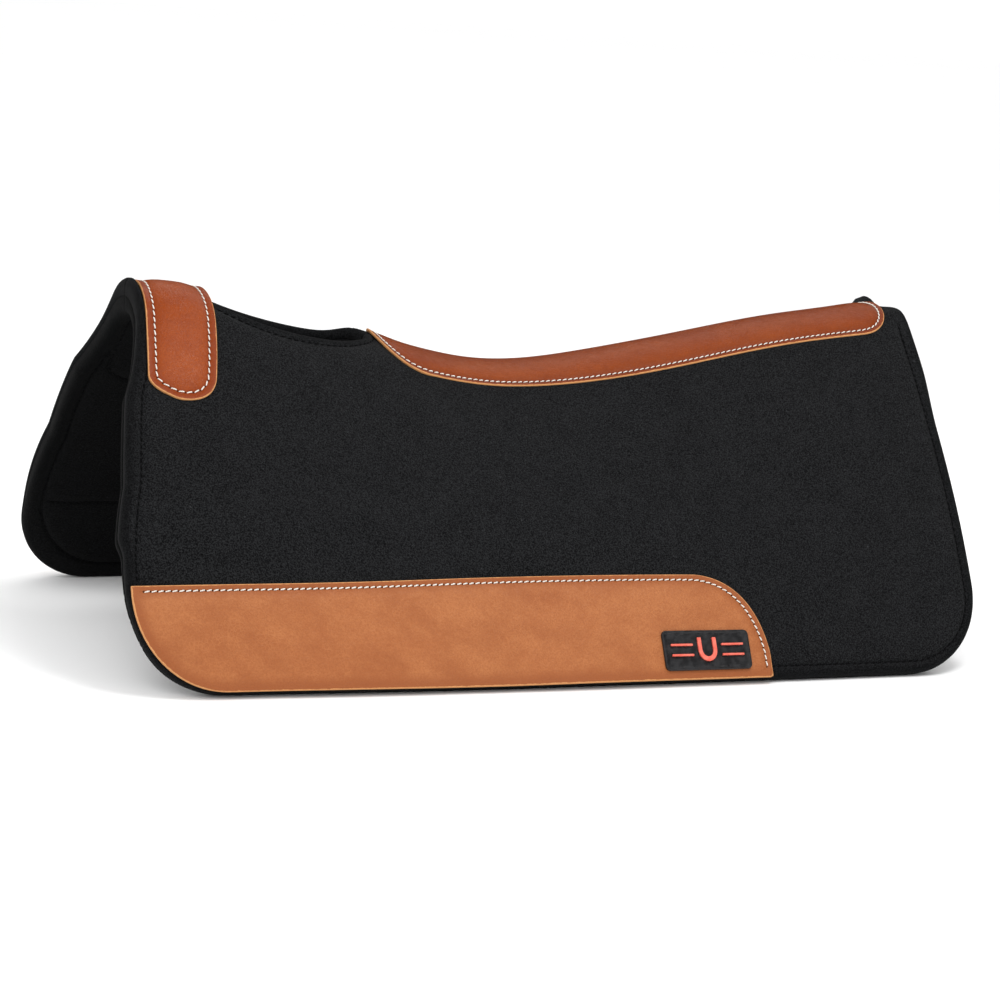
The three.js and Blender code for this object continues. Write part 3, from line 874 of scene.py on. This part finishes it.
def leather(name, kind, rim, side=None):
    """A sewn leather from its folded free edge; one without a side lies across the spine."""
    puff, back_spacing, back_clear = LEATHERS[kind]
    seam = SEAMS[kind]
    holes = resampled(seam, PITCH[kind])
    outline = rim[:-1] if side else mirrored(rim)
    box = folded(outline)
    fine = [(hole_points(holes), LEATHER_CLEAR["hole"])]
    fine += beside(rim, LEATHER_RINGS, LEATHER_CLEAR["rim"])
    fine += beside(seam, CREASE_RINGS, LEATHER_CLEAR["crease"])
    fine.append((lattice(box, LEATHER_LATTICE), LEATHER_CLEAR["lattice"]))
    hidden = [(lattice(box, back_spacing), back_clear)]
    if not side:
        fine, hidden = ([(both_sides(points), gap) for points, gap in part] for part in (fine, hidden))
    flats = (outline, spread(outline, fine), spread(outline, hidden))
    rim_gap = gap_from(rim)

    def face(points):
        gap = rim_gap(points)
        plump = puff * smooth((gap - STRAP_SEAM) / PUFF_REACH)
        crease = CREASE * valley(points, kind, CREASE_WIDTH)
        return LEATHER_OUTSIDE + relief(points) + rounding(gap, LEATHER_ROUND) + crease - plump

    def front(points):
        return face(points) + HOLE_DEPTH * hole_field(points, holes)

    def back(points):
        return relief(points) - GAP

    return sheet(name, side or 1, flats, front, back, rim_gap, holes), face


def closed(line):
    return np.vstack([line, line[:1]])


# ---- badge ----
BADGE_AT = {"x": 0.116, "z": 0.031, "half_length": 0.042, "half_height": 0.0155, "corner": 0.004}
BADGE_BORDER = 0.0018
BADGE_STEP = 0.0012
BADGE_RINGS = (0.0002, 0.0005, 0.0009, 0.0014, 0.0019, 0.0023)
BADGE_ROUND = 0.0009
BADGE_CLEAR = {"rim": 0.0001, "rib": 0.0004, "back": 0.003}
BORDER_SLOPE = 0.0006
RIB_PITCH = 0.0021
RIB_HEIGHT = 0.00036
RIB_END = 0.0026  # from the badge's edge
FIELD_DEPTH = 0.0009


def badge(name, side):
    """The moulded patch: a raised border round a field of fine ribs."""
    x, z, half_length, half_height, corner = BADGE_AT.values()
    across = half_length - corner
    up = half_height - corner
    box = joined(*(
        turn((x + dx * across, z + dz * up), (corner, corner), at, at + 90, 8)
        for dx, dz, at in ((-1, -1, 180), (1, -1, -90), (1, 1, 0), (-1, 1, 90))
    ))
    outline = on_surface(resampled(closed(box), BADGE_STEP)[:-1], BADGE_OUTSIDE)
    rim = closed(outline)
    half_rib = half_length - RIB_END
    fine = beside(rim, BADGE_RINGS, BADGE_CLEAR["rim"])
    for level in np.arange(-half_height + BADGE_BORDER, half_height - BADGE_BORDER, RIB_PITCH / 2):
        rib = run((x - half_rib, z + level), (x + half_rib, z + level))
        fine.append((on_surface(resampled(rib, 0.003), BADGE_OUTSIDE), BADGE_CLEAR["rib"]))
    hidden = [(lattice(outline, 0.006), BADGE_CLEAR["back"])]
    flats = (outline, spread(outline, fine), spread(outline, hidden))
    base_s = float(arc_at_height(x, z - half_height + BADGE_BORDER, BADGE_OUTSIDE))
    edge_gap = gap_from(rim)

    def front(points):
        gap = edge_gap(points)
        within = smooth((gap - BADGE_BORDER) / BORDER_SLOPE)
        ribbing = RIB_HEIGHT * np.cos(2 * np.pi * (base_s - np.abs(points[:, 1])) / RIB_PITCH)
        field = within * (FIELD_DEPTH - ribbing)
        return BADGE_OUTSIDE + relief(points) + rounding(gap, BADGE_ROUND) + field

    def back(points):
        return LEATHER_OUTSIDE - GAP + relief(points)

    return sheet(name, side, flats, front, back, edge_gap)


EMBLEM_STEP = 0.0007
EMBLEM_RINGS = (0.0001, 0.00025, -0.0001, -0.00025)
EMBLEM_ROUND = 0.0003
EMBLEM_CLEAR = {"rim": 0.00005, "lattice": 0.00045}
SHOE = {"outer": 0.0090, "inner": 0.0054, "heel": 0.0095}
BAR = {"start": 0.014, "end": 0.035, "half_height": 0.0008, "rise": 0.0040}


def raised(name, side_view, side):
    """A raised shape on the badge, from its outline in side view."""
    outline = on_surface(resampled(closed(side_view), EMBLEM_STEP)[:-1], BADGE_OUTSIDE)
    rim = closed(outline)
    inner = (lattice(outline, 2 * EMBLEM_CLEAR["lattice"]), EMBLEM_CLEAR["lattice"])
    fill = spread(outline, [*beside(rim, EMBLEM_RINGS, EMBLEM_CLEAR["rim"]), inner])
    edge_gap = gap_from(rim)

    def front(points):
        return EMBLEM_OUTSIDE + relief(points) + rounding(edge_gap(points), EMBLEM_ROUND)

    def back(points):
        return BADGE_OUTSIDE + FIELD_DEPTH + relief(points)

    return sheet(name, side, (outline, fill, fill[:0]), front, back, edge_gap)


def emblem(name, side):
    """A plain horseshoe, open at the top, between two pairs of bars."""
    x = BADGE_AT["x"]
    z = BADGE_AT["z"]
    outer, inner, heel = SHOE.values()
    shoe = joined(
        run((x - outer, z + heel)),
        turn((x, z), (outer, outer), 180, 360),
        run((x + outer, z + heel), (x + inner, z + heel)),
        turn((x, z), (inner, inner), 360, 180),
        run((x - inner, z + heel)),
    )
    parts = [raised(name, shoe, side)]
    start, end, half_height, rise = BAR.values()
    half = (end - start) / 2
    corners = run((-half, -half_height), (half, -half_height), (half, half_height), (-half, half_height))
    for direction in (-1, 1):
        for level in (-rise, rise):
            middle = (x + direction * (start + end) / 2, z + level)
            parts.append(raised(f"{name}_bar", corners + middle, side))
    with bpy.context.temp_override(active_object=parts[0], selected_editable_objects=parts):
        bpy.ops.object.join()
    return parts[0]


# ---- materials ----
class Look:
    """A material as it is built: add() makes a node with its inputs set or linked."""

    def __init__(self, name, **sockets):
        self.material = bpy.data.materials.new(name)
        self.material.use_nodes = True
        self.tree = self.material.node_tree
        self.tree.nodes.clear()
        self.shader = self.add("ShaderNodeBsdfPrincipled", **sockets)
        output = self.tree.nodes.new("ShaderNodeOutputMaterial")
        self.tree.links.new(self.shader.outputs[0], output.inputs["Surface"])

    def add(self, kind, settings=(), **inputs):
        node = self.tree.nodes.new(kind)
        for key, value in dict(settings).items():
            setattr(node, key, value)
        for key, value in inputs.items():
            self.set(node, key.replace("_", " "), value)
        return node

    def set(self, node, key, value):
        socket = node.inputs[int(key)] if key.isdigit() else node.inputs[key]
        if isinstance(value, bpy.types.NodeSocket):
            self.tree.links.new(value, socket)
        else:
            socket.default_value = value

    def attribute(self, name, output="Fac"):
        return self.add("ShaderNodeAttribute", {"attribute_name": name}).outputs[output]

    def mapped(self, vector, **change):
        return self.add("ShaderNodeMapping", Vector=vector, **change).outputs[0]

    def noise(self, vector, scale, detail=3.0, roughness=0.55):
        inputs = {"Vector": vector, "Scale": scale, "Detail": detail, "Roughness": roughness}
        return self.add("ShaderNodeTexNoise", **inputs).outputs["Fac"]

    def cells(self, vector, scale, feature="F1"):
        node = self.add("ShaderNodeTexVoronoi", {"feature": feature}, Vector=vector, Scale=scale)
        return node.outputs["Distance"]

    def ramp(self, value, low, high, to=(0.0, 1.0)):
        """value taken smoothly from low..high to the two numbers in to."""
        node = self.add("ShaderNodeMapRange", {"interpolation_type": "SMOOTHSTEP"}, Value=value)
        for key, number in zip(("From Min", "From Max", "To Min", "To Max"), (low, high, *to)):
            node.inputs[key].default_value = number
        return node.outputs["Result"]

    def math(self, operation, *values):
        node = self.add("ShaderNodeMath", {"operation": operation})
        for key, value in enumerate(values):
            self.set(node, str(key), value)
        return node.outputs[0]

    def plus(self, *values):
        return self.math("ADD", *values)

    def times(self, *values):
        return self.math("MULTIPLY", *values)

    def mix(self, factor, a, b):
        node = self.add("ShaderNodeMix", {"data_type": "RGBA", "clamp_factor": False})
        self.set(node, "0", factor)
        for key, colour in (("6", a), ("7", b)):
            self.set(node, key, colour if isinstance(colour, bpy.types.NodeSocket) else (*colour, 1))
        return node.outputs[2]

    def bump(self, height, distance, strength=1.0):
        return self.add("ShaderNodeBump", Height=height, Distance=distance, Strength=strength).outputs[0]

    def finish(self, colour=None, roughness=None, normal=None):
        for key, value in (("Base Color", colour), ("Roughness", roughness), ("Normal", normal)):
            if value is not None:
                self.set(self.shader, key, value)
        return self.material


ASKEW = (0.6, 0.8, 0.3)  # keeps a noise's lattice off the sheet's directions
FIBRES = (  # the turn of each lay, and its noise's scale
    (0.4, (2600, 330, 900)),
    (1.5, (2400, 300, 900)),
    (2.6, (2900, 360, 900)),
)
FIBRE_SHARE = 0.45
KEMP_SHARE = 3.2


def felt_look(name, dark, light, seed):
    """Pressed wool: a needled grain with pale kemp fibres lying every way."""
    look = Look(name, Roughness=0.95, Specular_IOR_Level=0.05, Sheen_Weight=0.02, Sheen_Roughness=0.5)
    place = look.attribute("flat", "Vector")
    grain = look.noise(look.mapped(place, Rotation=ASKEW), 820 + seed, detail=2, roughness=0.7)
    cloud = look.noise(place, 30, detail=3)
    fibres = 0.0
    for lay, scale in FIBRES:
        along = look.mapped(place, Rotation=(0, 0, lay))
        fibres = look.math("MAXIMUM", fibres, look.noise(look.mapped(along, Scale=scale), 1.0, detail=1))
    lit = look.ramp(fibres, 0.60, 0.80)
    kemp = look.ramp(look.noise(place, 170, detail=2), 0.66, 0.76)
    tone = look.plus(look.ramp(grain, 0.41, 0.59, (0.0, 0.66)), look.ramp(cloud, 0.35, 0.70, (0.0, 0.06)))
    tone = look.plus(tone, look.times(lit, FIBRE_SHARE))
    tone = look.plus(tone, look.times(look.times(lit, kemp), KEMP_SHARE))
    # Painted shade: the felt is darkened within about 12 mm of its free edges, down to 0.45 of its tone
    # at the edge.
    painted_rim_shade = look.ramp(look.attribute("rim"), 0.003, 0.012, (0.45, 1.0))
    height = look.plus(grain, look.times(lit, 0.5))
    colour = look.mix(look.times(tone, painted_rim_shade), dark, light)
    return look.finish(colour, normal=look.bump(height, 0.00060))


PALER = (1.12, 1.22, 1.30)
DEEPER = (0.74, 0.62, 0.52)
RAW_EDGE = (0.58, 0.27, 0.10)
HOLE_SHADE = (0.012, 0.007, 0.005)


def leather_look(name, tan, roughness, gloss):
    """Pull-up leather: softly mottled, fine grained, raw at its cut edge."""
    look = Look(name, Specular_IOR_Level=gloss)
    place = look.mapped(look.attribute("flat", "Vector"), Rotation=ASKEW)
    pale, deep = ([c * f for c, f in zip(tan, factors)] for factors in (PALER, DEEPER))
    colour = look.mix(look.ramp(look.noise(place, 9, detail=5, roughness=0.62), 0.36, 0.64), tan, pale)
    cloud = look.noise(look.mapped(place, Scale=(18, 34, 18)), 1.0, detail=4, roughness=0.6)
    small = look.noise(place, 150, detail=6, roughness=0.75)
    fine = look.noise(place, 640, detail=3, roughness=0.8)
    mottles = ((cloud, 0.36, 0.72, 0.55), (small, 0.40, 0.72, 0.30), (fine, 0.40, 0.62, 0.52))
    for mottle, low, high, share in mottles:
        colour = look.mix(look.ramp(mottle, low, high, (0.0, share)), colour, deep)
    crackle = look.ramp(look.cells(place, 330, "DISTANCE_TO_EDGE"), 0.0, 0.16)
    worn = look.ramp(look.noise(place, 55, detail=3), 0.48, 0.66, (0.0, 0.55))
    scuffs = look.times(look.math("SUBTRACT", 1.0, crackle), worn)
    colour = look.mix(scuffs, colour, pale)
    gap = look.attribute("rim")
    colour = look.mix(look.ramp(gap, 0.003, 0.014, (0.80, 0.0)), colour, deep)
    fray = look.times(look.noise(place, 260, detail=4, roughness=0.7), 0.0018)
    cut = look.ramp(look.math("SUBTRACT", gap, fray), -0.0004, 0.0002, (1.0, 0.0))
    colour = look.mix(cut, colour, RAW_EDGE)
    # Painted shade: the needle holes are darkened to near black at their middles.
    colour = look.mix(look.ramp(look.attribute("hole"), 0.10, 0.60), colour, HOLE_SHADE)
    pores = look.ramp(look.cells(place, 1100), 0.0, 0.55, (0.0, 0.55))
    height = look.plus(look.plus(pores, look.times(small, 1.6)), look.times(crackle, 0.5))
    rough = look.ramp(small, 0.35, 0.70, (roughness - 0.06, roughness + 0.12))
    rough = look.plus(rough, look.times(cut, 0.3))
    return look.finish(colour, rough, look.bump(height, 0.00024, 0.9))


PLY_TURN = 0.0016  # of length, the plies go once round


def thread_look(name, colour, shade, gloss):
    """Twisted waxed thread: two plies wind round each stitch."""
    look = Look(name, Roughness=0.70, Specular_IOR_Level=gloss)
    strand = look.attribute("strand", "Vector")
    along, round_it, _ = look.add("ShaderNodeSeparateXYZ", Vector=strand).outputs
    ply = look.math("SINE", look.plus(look.times(along, 2 * math.pi / PLY_TURN), round_it))
    ply = look.ramp(ply, -1.0, 0.2)
    tone = look.mix(look.ramp(look.noise(strand, 3.0), 0.3, 0.7, (0.0, 0.25)), colour, shade)
    # Painted shade: where the plies meet, the thread takes the darker shade colour; the same colour also
    # mottles it at random.
    return look.finish(look.mix(ply, shade, tone), normal=look.bump(ply, 0.00012, 0.8))


def rubber_look(name, dark, light):
    """Moulded rubber with a faint bloom."""
    look = Look(name, Specular_IOR_Level=0.4)
    place = look.attribute("flat", "Vector")
    bloom = look.noise(place, 160, detail=4)
    colour = look.mix(look.ramp(bloom, 0.35, 0.70), dark, light)
    rough = look.ramp(bloom, 0.3, 0.7, (0.42, 0.60))
    return look.finish(colour, rough, look.bump(look.noise(place, 1400, detail=3), 0.00005, 0.6))


def floor_look():
    look = Look("floor_paper", Roughness=0.9, Specular_IOR_Level=0.1)
    place = look.add("ShaderNodeTexCoord").outputs["Object"]
    tone = look.ramp(look.noise(place, 2.0, detail=2), 0.3, 0.7)
    return look.finish(look.mix(tone, (0.955, 0.955, 0.955), (0.97, 0.97, 0.97)))


FELT_OUT = felt_look("felt_outside", (0.0012, 0.0013, 0.0015), (0.0225, 0.0233, 0.0247), 0)
# Painted shade: the lower felt is the same felt as the outside, coloured about a third as bright for the
# shade inside the pad.
FELT_IN_SHADED = felt_look("felt_inside_shaded", (0.0008, 0.0009, 0.0010), (0.0072, 0.0075, 0.0080), 37)
FILLER_LOOK = felt_look("needled_filler", (0.09, 0.09, 0.08), (0.30, 0.30, 0.27), 11)
WEAR_LOOK = leather_look("wear_leather", (0.374, 0.121, 0.036), 0.50, 0.26)
STRAP_LOOK = leather_look("strap_leather", (0.266, 0.047, 0.0045), 0.34, 0.22)
STRIP_LOOK = leather_look("strip_leather", (0.222, 0.040, 0.0035), 0.36, 0.18)
PALE_THREAD = thread_look("pale_thread", (0.86, 0.84, 0.79), (0.52, 0.47, 0.40), 0.30)
BLACK_THREAD = thread_look("black_thread", (0.0045, 0.0045, 0.005), (0.002, 0.002, 0.0022), 0.05)
BADGE_LOOK = rubber_look("badge_rubber", (0.010, 0.010, 0.011), (0.022, 0.022, 0.024))
EMBLEM_LOOK = rubber_look("emblem_rubber", (0.68, 0.10, 0.065), (0.80, 0.16, 0.11))


# ---- assembly ----
SIDES = {"left": -1, "right": 1}


def dress(piece, material, slot, *nodes, body=None):
    """Finish a piece: give it its material and hide the parts it replaces. With a body it is attached to
    that body's empty; without one its transform is baked into its mesh.
    """
    piece.data.materials.append(material)
    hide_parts(*nodes)
    if body:
        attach(piece, body)
        return
    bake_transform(piece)


def rows_on(surface, side, *seams, **shape):
    return [stitch_row(SEAMS[seam] * (1, side), PITCH[seam], surface, **shape) for seam in seams]


WEAR_RIM = flank_line(joined(*wear_parts()), 0.0028)
BLACK_STITCH = {"rings": STITCH_RINGS[::2], "sides": 5}

for label, side in SIDES.items():
    half = f"{label}_half"
    upper, outside = upper_felt(f"upper_felt_{label}_cloth", side)
    dress(upper, FELT_OUT, "felt_black", f"upper_felt_{label}")
    lower, lining = lower_felt(f"lower_felt_{label}_cloth", side)
    dress(lower, FELT_IN_SHADED, "felt_black", f"lower_felt_{label}")
    fill = filler(f"filler_{label}", side)
    dress(fill, FILLER_LOOK, "core_fill", f"core_{label}")

    patch, patch_face = leather(f"wear_leather_{label}_hide", "wear", WEAR_RIM, side)
    dress(patch, WEAR_LOOK, "wear_leather", f"wear_leather_{label}", body=half)
    sewing = stitches(f"wear_stitches_{label}", rows_on(patch_face, side, "wear"))
    dress(sewing, PALE_THREAD, "pale_thread", f"wear_thread_{label}", body=half)
    plate = badge(f"badge_{label}_patch", side)
    dress(plate, BADGE_LOOK, "badge_rubber", f"badge_{label}", body=half)
    shoe = emblem(f"emblem_{label}_shoe", side)
    dress(shoe, EMBLEM_LOOK, "emblem_rubber", f"emblem_{label}", body=half)

    rows = rows_on(outside, side, *OUTSIDE_SEAMS, **BLACK_STITCH)
    rows += rows_on(lining, side, *LINING_SEAMS, lift=-1, **BLACK_STITCH)
    seams = stitches(f"seam_stitches_{label}", rows)
    threads = [f"{seam}_thread_{label}" for seam in ("front_seam", "rear_seam", "vent")]
    dress(seams, BLACK_THREAD, "black_thread", *threads)

for label, node, rim, look in (
    ("strap", "withers_strap", strap_rim(0.0022), STRAP_LOOK),
    ("strip", "spine_strip", strip_rim(0.0024), STRIP_LOOK),
):
    hide, hide_face = leather(f"{node}_hide", label, rim)
    dress(hide, look, f"{label}_leather", node)
    sewing = stitches(f"{label}_stitches", rows_on(hide_face, 1, label) + rows_on(hide_face, -1, label))
    dress(sewing, PALE_THREAD, "pale_thread", f"{label}_thread")


# ---- floor, light and camera ----
def studio_floor():
    mesh = bpy.data.meshes.new("studio_floor")
    shape = bmesh.new()
    bmesh.ops.create_circle(shape, cap_ends=True, radius=120, segments=96)
    shape.to_mesh(mesh)
    shape.free()
    mesh.materials.append(floor_look())
    placed("studio_floor", mesh)


def softbox(name, place, aim, size, power):
    lamp = bpy.data.lights.new(name, "AREA")
    lamp.shape = "RECTANGLE"
    lamp.size, lamp.size_y = size
    lamp.energy = power
    holder = placed(name, lamp)
    holder.location = place
    holder.rotation_euler = (Vector(aim) - Vector(place)).to_track_quat("-Z", "Y").to_euler()


def studio_light():
    world = bpy.data.worlds.new("studio")
    bpy.context.scene.world = world
    world.use_nodes = True
    sky = world.node_tree.nodes["Background"].inputs
    sky["Color"].default_value = (1, 1, 1, 1)
    sky["Strength"].default_value = 1.10
    world.cycles_visibility.glossy = False  # gloss shows only the softboxes
    middle = (0, 0, 0.15)
    softbox("key_softbox", (-1.6, -2.2, 2.4), middle, (1.6, 1.6), 25)
    softbox("top_softbox", (0.35, -0.77, 1.84), (-0.33, -0.13, 0.24), (0.5, 0.5), 12)
    softbox("back_softbox", (0.72, 1.39, 1.64), middle, (1.8, 0.5), 6)


VIEW_TARGET = (-0.012, 0.0, 0.160)
VIEW_AZIMUTH = math.radians(22)  # off the pad's side, towards the withers
VIEW_ELEVATION = math.radians(9.6)
VIEW_ROLL = math.radians(3.9)
VIEW_DISTANCE = 2.435


def studio_camera():
    view = bpy.data.cameras.new("camera")
    view.lens = 93.8
    view.sensor_width = 36
    view.shift_x = 0.017
    view.shift_y = -0.044
    level = Vector((math.sin(VIEW_AZIMUTH), math.cos(VIEW_AZIMUTH), 0))
    forward = level * math.cos(VIEW_ELEVATION) - Vector((0, 0, math.sin(VIEW_ELEVATION)))
    side = Vector((level.y, -level.x, 0))
    up = side.cross(forward)
    right = side * math.cos(VIEW_ROLL) + up * math.sin(VIEW_ROLL)
    up = up * math.cos(VIEW_ROLL) - side * math.sin(VIEW_ROLL)
    camera = placed("camera", view)
    turned = Matrix((right, up, -forward)).transposed().to_4x4()
    camera.matrix_world = Matrix.Translation(Vector(VIEW_TARGET) - forward * VIEW_DISTANCE) @ turned
    bpy.context.scene.camera = camera


studio_floor()
studio_light()
studio_camera()
bpy.context.scene.view_settings.view_transform = "Standard"
